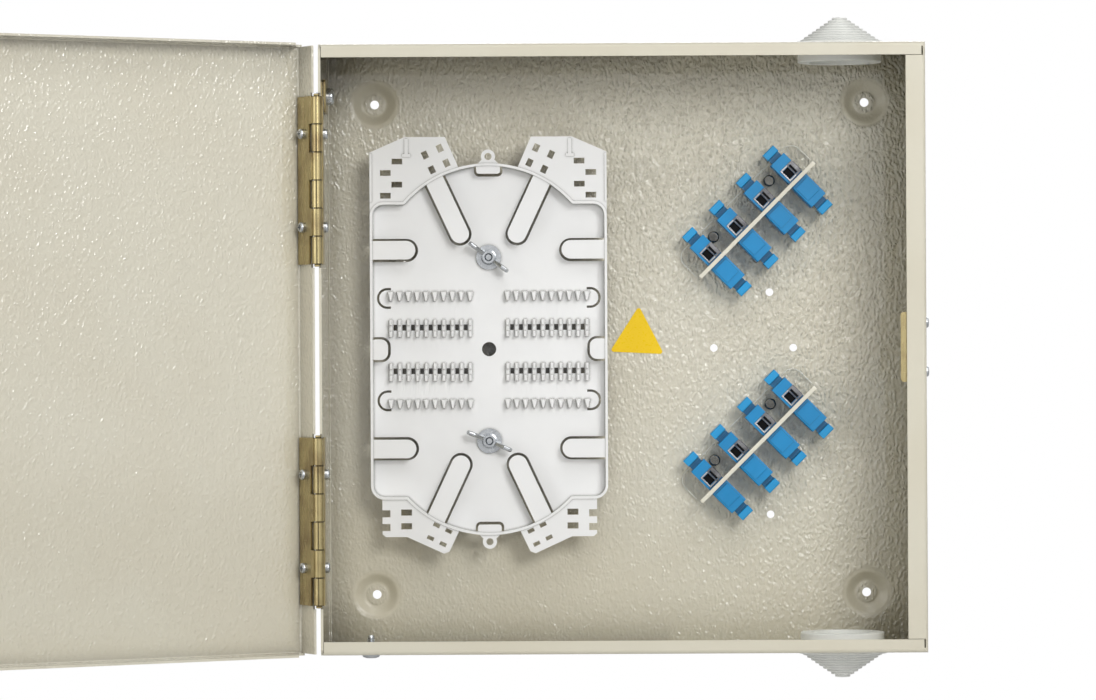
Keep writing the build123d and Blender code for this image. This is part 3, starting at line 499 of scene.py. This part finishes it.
grey_vinyl = moulded("grey_vinyl", shade(234, 235, 230), 0.5, 800.0, 0.012, 0.97,
                     closed_in_shade=(shade(120, 122, 118), 1.3))
white_plastic = moulded("white_plastic", shade(241, 241, 240), 0.38, 1200.0, 0.006, 0.98,
                        closed_in_shade=(shade(112, 110, 102), 1.5))
blue_plastic = moulded("blue_plastic", shade(12, 138, 198), 0.34, 1300.0, 0.006, 0.9,
                       closed_in_shade=(shade(0, 44, 72), 2.2))
blue_cap_plastic = moulded("blue_cap_plastic", shade(24, 152, 212), 0.4, 1300.0, 0.006, 0.92,
                           closed_in_shade=(shade(0, 50, 80), 3.4), neck_shade=shade(0, 92, 136))
# A near-black plastic for the blocks of painted shade in the clips.
painted_shade_plastic = moulded("painted_shade_block", shade(14, 14, 16), 0.5, 900.0, specular=0.08)
marker_film = moulded("marker_film", shade(250, 208, 2), 0.3, 900.0, 0.004, 0.97)
print("plastics", 6)

# %% [markdown]
# The brackets are clear sheet plastic. Its faces nearly vanish, while its cut edges scatter light
# and look milky. True glass would be slow and noisy here, so the sheet is see-through by its
# alpha. The mask for the long top edge comes from its height off the wall. The foot's outline is
# found from its normals: low faces that look sideways are cut edges.

# %% Clear sheet with milky edges
BRACKET_TOP = -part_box("adapter_bracket_upper")[0].y
FOOT_FACE = (6.2 * MM, 6.6 * MM)


def clear_sheet():
    finish = Finish("clear_sheet")
    place = finish.place()
    x, y, z = finish.parts_of(place)
    top = finish.smooth(0.0 - y, BRACKET_TOP - 0.9 * MM, BRACKET_TOP - 0.1 * MM)
    sideways = 1.0 - finish.smooth(finish.normal_parts()[1].size(), 0.2, 0.95)
    rim = sideways * (1.0 - finish.smooth(0.0 - y, *FOOT_FACE))
    haze = finish.noise(place, 90.0)
    return finish.set(base_color=finish.mix(top, shade(226, 222, 208), shade(232, 228, 212)),
                      roughness=finish.smooth(haze, 0.3, 0.7, 0.08, 0.14),
                      alpha=finish.smooth(haze, 0.3, 0.7, 0.03, 0.06) + top * 0.90 + rim * 0.08,
                      ior=1.49)


clear_plastic = clear_sheet()
print("bracket top", round(BRACKET_TOP / MM, 2), "mm off the wall")

# %% [markdown]
# Each CAD piece names the material it is made of, in its slot. A finish could be picked by hand
# for every piece, but the slots do it in one loop. The real bonding plate and catch plate have
# the yellow of the hinges, so those two take the slot yellow_zinc.

# %% Give every CAD piece its finish
finishes = {"painted_steel": painted_steel, "yellow_zinc": yellow_chromate("yellow_chromate"),
            "bright_zinc": bright_zinc, "chromed_zinc": chrome, "spring_steel": spring_steel,
            "grey_vinyl": grey_vinyl, "white_plastic": white_plastic,
            "clear_plastic": clear_plastic, "blue_plastic": blue_plastic,
            "blue_cap_plastic": blue_cap_plastic, "marker_film": marker_film}
YELLOW_PLATES = {"bonding_plate": 0.25, "lock_catch_plate": 0.2}
for node in YELLOW_PLATES:
    slot_of_node[node] = "yellow_zinc"


def dress(mesh, node):
    mesh.materials.clear()
    mesh.materials.append(own_finish.get(node, finishes[slot_of_node[node]]))


for node in slot_of_node:
    dress(nodes[node].data, node)
print("finishes", len(finishes), "pieces with one of their own", len(own_finish))

# %% [markdown]
# CAD edges are perfectly sharp, and sharp edges look like paper because they never catch light.
# Paint, moulding and stamping all round an edge by a fraction of a millimetre. Here each CAD mesh
# is copied, its flat faces are joined, and a narrow bevel rounds every real corner, while curved
# faces stay as they are. The copy then stands for the CAD piece and keeps its size. The tray
# keeps its own mesh, because a flat face with so many windows can't be joined cleanly.

# %% Soft edges
CORNER_ANGLE = radians(35)
FLAT_ANGLE = radians(0.5)
WELD = 0.001 * MM


def stand_for(piece, node):
    """The piece takes the CAD node's place, body, slot and finish."""
    dress(piece.data, node)
    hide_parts(node)
    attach(piece, body_of_node[node])


def joined_faces(node):
    """A copy of the node's mesh in which each flat face is one face."""
    work = bmesh.new()
    work.from_mesh(nodes[node].data)
    bmesh.ops.remove_doubles(work, verts=work.verts, dist=WELD)
    bmesh.ops.dissolve_limit(work, angle_limit=FLAT_ANGLE, verts=work.verts, edges=work.edges)
    mesh = bpy.data.meshes.new(node + "_soft")
    work.to_mesh(mesh)
    work.free()
    return mesh


def softened(node, width):
    """A copy of the node with its corners rounded by width, in millimetres."""
    mesh = joined_faces(node)
    piece = put_in_scene(node + "_soft", mesh)
    bevel = piece.modifiers.new("bevel", "BEVEL")
    bevel.limit_method = "ANGLE"
    bevel.angle_limit = CORNER_ANGLE
    bevel.width = width * MM
    bevel.segments = 2
    bevel.miter_outer = "MITER_ARC"
    even = piece.modifiers.new("even_normals", "WEIGHTED_NORMAL")
    even.keep_sharp = True
    even.weight = 100
    mesh.shade_smooth()
    mesh.set_sharp_from_angle(angle=CORNER_ANGLE)
    stand_for(piece, node)
    return piece


soft_edges = {"enclosure_shell": 0.25, "door_shell": 0.25, "marker_sticker": 0.03}
for node in nodes:
    if node.startswith("adapter_") and slot_of_node[node] == "blue_plastic":
        soft_edges[node] = 0.22
    if "_side_cap_" in node:
        soft_edges[node] = 0.35
soft_edges.update(YELLOW_PLATES)
for node, width in soft_edges.items():
    softened(node, width)
print("softened", len(soft_edges))

# %% [markdown]
# A bracket's foot lies on the panel. Two faces in one plane flicker, and here the clear one turns
# into a dark patch. So the copy of each bracket has the underside of its foot lifted a little.

# %% Softened brackets
UNDERSIDE_LIMIT = 4.3 * MM
UNDERSIDE_LIFTED = 4.4 * MM
for level in BRACKETS:
    bracket = softened("adapter_bracket_" + level, 0.2)
    for vertex in bracket.data.vertices:
        if -vertex.co.y < UNDERSIDE_LIMIT:
            vertex.co.y = -UNDERSIDE_LIFTED
print("brackets", len(BRACKETS))

# %% [markdown]
# The cable grommets are soft vinyl cones in steps, and each step is a small rounded ridge, so
# that a cable can be pushed through whichever ring fits it. The outline could be spun by a Screw
# modifier, but a short loop keeps the points in one list and closes the tip cleanly. The CAD cone
# has plain square steps, and these ridges stay inside them.

# %% A lathe
TURNS = 96
TURNED_EDGE = radians(28)


def turned(name, outline, origin, direction, closed=True):
    """Turns an outline of (radius, along) points, in millimetres, about a line through origin."""
    work = bmesh.new()
    upright = Vector(direction).to_track_quat("Z", "X").to_matrix()
    rings = []
    for radius, along in outline:
        turns = [2 * pi * i / TURNS for i in range(TURNS)] if radius > 0 else [0.0]
        spots = [Vector((radius * cos(a), radius * sin(a), along)) * MM for a in turns]
        rings.append([work.verts.new(Vector(origin) * MM + upright @ spot) for spot in spots])
    last = rings[:1] if closed else []
    for first, second in zip(rings, rings[1:] + last):
        for i in range(TURNS):
            corners = [first[i % len(first)], first[(i + 1) % len(first)],
                       second[(i + 1) % len(second)], second[i % len(second)]]
            corners = list(dict.fromkeys(corners))
            if len(corners) > 2:
                work.faces.new(corners)
    bmesh.ops.recalc_face_normals(work, faces=work.faces)
    mesh = bpy.data.meshes.new(name)
    work.to_mesh(mesh)
    work.free()
    mesh.shade_smooth()
    mesh.set_sharp_from_angle(angle=TURNED_EDGE)
    return put_in_scene(name, mesh)


print("lathe turns", TURNS)

# %% Grommets turned on the lathe
GROMMET_PLACE = (110.0, -40.5)
CASE_HALF_HEIGHT = 151.0
BORE = 15.5
RING = 21.0
FLANGE = 23.0
FLANGE_HEIGHT = 2.2
CONE_HEIGHT = 14.6
CONE_BASE = 19.8
CONE_TIP = 3.8
CONE_STEPS = 9
STEP_RISE = (CONE_HEIGHT - FLANGE_HEIGHT) / CONE_STEPS
STEP_RUN = (CONE_BASE - CONE_TIP) / (CONE_STEPS - 1)

grommet_outline = [(BORE, -8.2), (RING - 0.4, -8.2), (RING, -7.8), (RING, -1.2), (18.5, -1.2),
                   (18.5, 0.0), (FLANGE - 0.2, 0.0), (FLANGE, 0.3), (FLANGE, 1.7),
                   (FLANGE - 0.5, FLANGE_HEIGHT)]
for i in range(CONE_STEPS):
    radius = CONE_BASE - i * STEP_RUN
    foot = FLANGE_HEIGHT + i * STEP_RISE
    grommet_outline += [(radius, foot), (radius, foot + 0.80), (radius - 0.12, foot + 0.98),
                        (radius - 0.35, foot + 1.08),
                        (radius - STEP_RUN + 0.05, foot + STEP_RISE - 0.1)]
grommet_outline += [(0.0, CONE_HEIGHT), (0.0, 13.2), (2.4, 13.2), (BORE, 1.7)]
for node, way in (("top_cable_grommet", 1), ("bottom_cable_grommet", -1)):
    stand_for(turned(node + "_turned", grommet_outline, (*GROMMET_PLACE, way * CASE_HALF_HEIGHT),
                     (0, 0, way)), node)
print("grommet points", len(grommet_outline))

# %% [markdown]
# The earth screw and the tray's studs show their threads. A true spiral would be many faces for
# so small a part. Plain ridges in the lathe's outline read as a thread at this size and stay
# light. The studs end just below the top of their wing nuts, which is why the nuts show a dark
# middle.

# %% Threads
THREAD_RADIUS = 2.0
THREAD_DEPTH = 0.3
THREAD_PITCH = 0.7
STUD_X = -67.0
STUDS = {"upper": 46.6, "lower": -46.6}


def thread(start, end):
    """Outline points of a thread that runs from start to end."""
    points = []
    along = start
    while along + THREAD_PITCH < end:
        points += [(THREAD_RADIUS - THREAD_DEPTH, along),
                   (THREAD_RADIUS, along + THREAD_PITCH * 0.5)]
        along += THREAD_PITCH
    return points + [(THREAD_RADIUS - THREAD_DEPTH, along)]


stud_outline = ([(0.0, 3.0), (2.0, 3.0), (2.0, 4.2)] + thread(4.4, 18.4)
                + [(1.4, 18.9), (0.0, 18.9)])
for name, z in STUDS.items():
    stand_for(turned("tray_stud_" + name, stud_outline, (STUD_X, 0.0, z), (0, -1, 0),
                     closed=False), "tray_studs")
earth_outline = ([(0.0, 3.4), (2.6, 3.4), (4.0, 2.9), (4.7, 1.6), (4.7, 0.0), (2.0, 0.0),
                  (2.0, -1.3)]
                 + [(radius, -along) for radius, along in thread(1.5, 7.7)]
                 + [(1.4, -8.0), (0.0, -8.0)])
stand_for(turned("earth_screw_turned", earth_outline, (-126.5, -45.0, -CASE_HALF_HEIGHT),
                 (0, 0, -1), closed=False), "earth_screw")
print("threaded pieces", len(STUDS) + 1)

# %% [markdown]
# Each coupling is held in its bracket by a sprung steel clip. From the front it is a thin bright
# frame around a dark window, with one leg folded down the right side. Cutting windows into a
# block would leave rough edges. Bent strip is made best as a flat sheet of quads with holes left
# out, which a Solidify and a Bevel modifier thicken and round.

# %% Places in a bracket
ADAPTER_PLACES = [12.75 + 19.4 * i for i in range(4)]
ADAPTER_TOP = 14.15 + 12.7 / 2


def in_bracket(level, x, y, height):
    """A place counted along the plate, away from it and off the wall, in millimetres."""
    return Vector((BRACKET_X + (x - y) * LEAN, -height, level + (x + y) * LEAN)) * MM


def rounded(piece, width, steps):
    """Bevels a piece's sharp edges by width, in millimetres."""
    bevel = piece.modifiers.new("bevel", "BEVEL")
    bevel.limit_method = "ANGLE"
    bevel.width = width * MM
    bevel.segments = steps
    bevel.harden_normals = True
    piece.data.shade_smooth()


print("couplings", len(ADAPTER_PLACES) * len(BRACKETS))

# %% Spring clips
CLIP_ACROSS = (-3.5, -2.8, 1.0, 1.5, 2.8, 4.85)
CLIP_ALONG = (1.7, 2.5, 8.1, 8.9)
CLIP_WINDOWS = {(1, 1), (3, 1)}
CLIP_SHEET = 0.38
CLIP_TOP = ADAPTER_TOP + 0.2
LEG_EDGES = (2.5, 8.1)
LEG_FOLDS = ((0.0, 3.4), (0.0, 5.0), (0.19, 7.2))
BRIGHT_FACES = 12


def clip(name, level, x):
    """A clip's frame and leg, and the numbers of its faces that take a painted shade."""
    wide = len(CLIP_ACROSS)
    corners = [in_bracket(level, x + u, v, CLIP_TOP) for v in CLIP_ALONG for u in CLIP_ACROSS]
    faces = [(j * wide + i, j * wide + i + 1, (j + 1) * wide + i + 1, (j + 1) * wide + i)
             for j in range(len(CLIP_ALONG) - 1) for i in range(wide - 1)
             if (i, j) not in CLIP_WINDOWS]
    start = [2 * wide - 1, 3 * wide - 1]
    for out, down in LEG_FOLDS:
        end = [len(corners), len(corners) + 1]
        corners += [in_bracket(level, x + CLIP_ACROSS[-1] + out, v, CLIP_TOP - down)
                    for v in LEG_EDGES]
        faces.append((start[0], start[1], end[1], end[0]))
        start = end
    mesh = bpy.data.meshes.new(name)
    mesh.from_pydata(corners, [], faces)
    piece = put_in_scene(name, mesh)
    solid = piece.modifiers.new("thickness", "SOLIDIFY")
    solid.thickness = CLIP_SHEET * MM
    solid.offset = 0
    rounded(piece, 0.1, 2)
    faces_in_shade = [i for i, face in enumerate(faces) if min(face) % wide > 1 or i > BRIGHT_FACES]
    return piece, faces_in_shade


for row, level in BRACKETS.items():
    for number, x in enumerate(ADAPTER_PLACES, start=1):
        piece, clip_faces_in_shade = clip("spring_clip_" + row + "_" + str(number), level, x)
        stand_for(piece, "adapter_clips_" + row)
        # The right part of each clip's frame and its leg take a darker copy of the same steel:
        # painted shade.
        piece.data.materials.append(clip_steel_in_shade)
        for i in clip_faces_in_shade:
            piece.data.polygons[i].material_index = 1
print("clips", len(ADAPTER_PLACES) * len(BRACKETS))

# %% [markdown]
# Inside a clip's window the mouth of the coupling lies in shade, and a thin line of shade shows
# beside it. A shade painted on a face has no depth, so each is a small dark block set a little
# below the frame, a dark piece put where there is only shade, and it looks right from every side.

# %% Dark blocks of painted shade in the clips
def rounded_block(name, level, centre, size, width):
    """A dark bevelled block of painted shade that stands in a bracket's own frame."""
    (x, y, z), (dx, dy, dz) = centre, [edge / 2 for edge in size]
    corners = [in_bracket(level, x + i * dx, y + j * dy, z + k * dz)
               for k in (-1, 1) for j in (-1, 1) for i in (-1, 1)]
    faces = [(0, 1, 3, 2), (4, 6, 7, 5), (0, 4, 5, 1), (2, 3, 7, 6), (0, 2, 6, 4), (1, 5, 7, 3)]
    mesh = bpy.data.meshes.new(name)
    mesh.from_pydata(corners, [], faces)
    mesh.materials.append(painted_shade_plastic)
    piece = put_in_scene(name, mesh)
    rounded(piece, width, 3)
    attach(piece, "enclosure")


for row, level in BRACKETS.items():
    for number, x in enumerate(ADAPTER_PLACES, start=1):
        tag = "_" + row + "_" + str(number)
        rounded_block("clip_window_shade" + tag, level, (x - 0.9, 5.3, ADAPTER_TOP - 1.9),
                      (3.5, 5.0, 1.8), 0.15)
        rounded_block("clip_gap_shade" + tag, level, (x + 2.25, 5.3, ADAPTER_TOP + 0.03),
                      (1.2, 5.1, 0.1), 0.04)
print("inserts and strips", 2 * len(ADAPTER_PLACES) * len(BRACKETS))

# %% [markdown]
# A clear sheet is known by its edges. The cut edge of each bracket's foot is milky and gathers
# light, and that light is a painted highlight: a thin pale bead runs around the foot's outline. A
# bright material on the edge faces alone would be too thin to see, so the bead is a curve with a
# little thickness, turned into a mesh.

# %% Material of the painted edge highlight
def painted_edge_highlight():
    finish = Finish("edge_highlight_paint")
    haze = finish.noise(finish.place(), 120.0)
    return finish.set(base_color=finish.mix(haze, shade(250, 248, 238), shade(242, 240, 228)),
                      roughness=0.2, alpha=finish.smooth(haze, 0.3, 0.7, 0.6, 0.95))


edge_highlight_paint = painted_edge_highlight()
print("finish", edge_highlight_paint.name)

# %% Painted highlight along the edges of the clear sheet
FOOT_LENGTH = 83.8
FOOT_WIDTH = 16.0
FOOT_CORNER = 6.0
FOOT_TOP = 6.2
BEAD_RADIUS = 0.28
BEAD_INSET = 0.3
BEAD_DROP = 0.05
CORNER_STEPS = 8


def bead(name, points):
    curve = bpy.data.curves.new(name, "CURVE")
    curve.dimensions = "3D"
    curve.bevel_depth = BEAD_RADIUS * MM
    curve.bevel_resolution = 2
    curve.use_fill_caps = True
    line = curve.splines.new("POLY")
    line.points.add(len(points) - 1)
    for item, point in zip(line.points, points):
        item.co = (*point, 1)
    holder = bpy.data.objects.new(name + "_curve", curve)
    mesh = bpy.data.meshes.new_from_object(holder)
    bpy.data.objects.remove(holder)
    mesh.shade_smooth()
    mesh.materials.clear()
    mesh.materials.append(edge_highlight_paint)
    piece = put_in_scene(name, mesh)
    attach(piece, "enclosure")


foot_outline = [(BEAD_INSET, 2.0)]
for centre, first in ((FOOT_CORNER, 180), (FOOT_LENGTH - FOOT_CORNER, 90)):
    for step in range(CORNER_STEPS + 1):
        angle = radians(first - step * 90 / CORNER_STEPS)
        foot_outline.append((centre + (FOOT_CORNER - BEAD_INSET) * cos(angle),
                             FOOT_WIDTH - FOOT_CORNER + (FOOT_CORNER - BEAD_INSET) * sin(angle)))
foot_outline.append((FOOT_LENGTH - BEAD_INSET, 2.0))
for row, level in BRACKETS.items():
    bead("foot_edge_highlight_" + row,
         [in_bracket(level, x, y, FOOT_TOP - BEAD_DROP) for x, y in foot_outline])
print("points of a foot edge", len(foot_outline))

# %% [markdown]
# The studio is plain. A lamp on the upper right is the key, and it makes the shadows under the
# top and right walls. Three wide ones above, below and on the left open those shadows, and one
# behind lights the back for a look from there. Only their size and place matter: a small lamp
# gives sharp glints on the coat, and a large one gives soft shadows.

# %% Lamps
LAMPS = {
    "key": {"place": (0.74, -1.9, 0.72), "size": (0.70, 0.70), "power": 20.0},
    "top": {"place": (0.2, -1.1, 1.4), "size": (1.4, 0.8), "power": 8.0},
    "low": {"place": (0.4, -1.5, -1.4), "size": (1.6, 0.9), "power": 7.0},
    "left": {"place": (-1.7, -1.3, 0.2), "size": (0.9, 1.4), "power": 8.5},
    "behind": {"place": (0.3, 2.0, 0.9), "size": (1.4, 1.0), "power": 14.0},
}
for name, lamp in LAMPS.items():
    data = bpy.data.lights.new(name, "AREA")
    data.shape = "RECTANGLE"
    data.size, data.size_y = lamp["size"]
    data.energy = lamp["power"]
    item = put_in_scene(name, data)
    item.location = lamp["place"]
    item.rotation_euler = (-Vector(lamp["place"])).to_track_quat("-Z", "Y").to_euler()
print("lamps", len(LAMPS))

# %% [markdown]
# The photograph has a pure white background. A world that bright would wash the box out, so the
# world is a weak grey for lighting and white only to the camera and in reflections and clear
# plastic. Light Path tells which kind of ray is asking.

# %% World
WHITE = (1, 1, 1, 1)
WORLD_LEVEL = 0.15

world = bpy.data.worlds.new("studio")
bpy.context.scene.world = world
sky = NodeTree(world)
sky.tree.nodes.remove(sky.tree.nodes["Background"])
to_camera, in_gloss, in_clear = [sky.node("ShaderNodeLightPath", out=ray) for ray in
                                 ("Is Camera Ray", "Is Glossy Ray", "Is Transmission Ray")]
grey = sky.node("ShaderNodeBackground", None, {"Color": WHITE, "Strength": WORLD_LEVEL})
white = sky.node("ShaderNodeBackground", None, {"Color": WHITE, "Strength": 1.0})
sky.show("World Output", sky.node("ShaderNodeMixShader", None,
                                  {0: to_camera.either(in_gloss).either(in_clear),
                                   1: grey, 2: white}))
print("world level", WORLD_LEVEL)

# %% [markdown]
# The floor lies well below the box. It has to look as white as the background and still send soft
# light up to the box, so it glows for the camera only and is plain pale paint to all other rays.

# %% Floor
FLOOR_LEVEL = -0.30
FLOOR_REACH = 6.0

floor_mesh = bpy.data.meshes.new("floor")
corners = [(-FLOOR_REACH, -FLOOR_REACH), (FLOOR_REACH, -FLOOR_REACH),
           (FLOOR_REACH, FLOOR_REACH), (-FLOOR_REACH, FLOOR_REACH)]
floor_mesh.from_pydata([(x, y, FLOOR_LEVEL) for x, y in corners], [], [(0, 1, 2, 3)])
floor = put_in_scene("floor", floor_mesh)
paint = Finish("floor")
floor.data.materials.append(paint.set(base_color=(0.9, 0.9, 0.9, 1), roughness=0.9))
paint.show("Material Output", paint.node("ShaderNodeMixShader", None, {
    0: paint.node("ShaderNodeLightPath", out="Is Camera Ray"),
    1: Wire(paint, paint.shader.outputs[0]), 2: paint.node("ShaderNodeEmission")}))
print("floor at", FLOOR_LEVEL, "m")

# %% [markdown]
# The last step keeps the view plain, so that a colour renders as it is written.

# %% Keep the view plain
bpy.context.scene.view_settings.view_transform = "Standard"
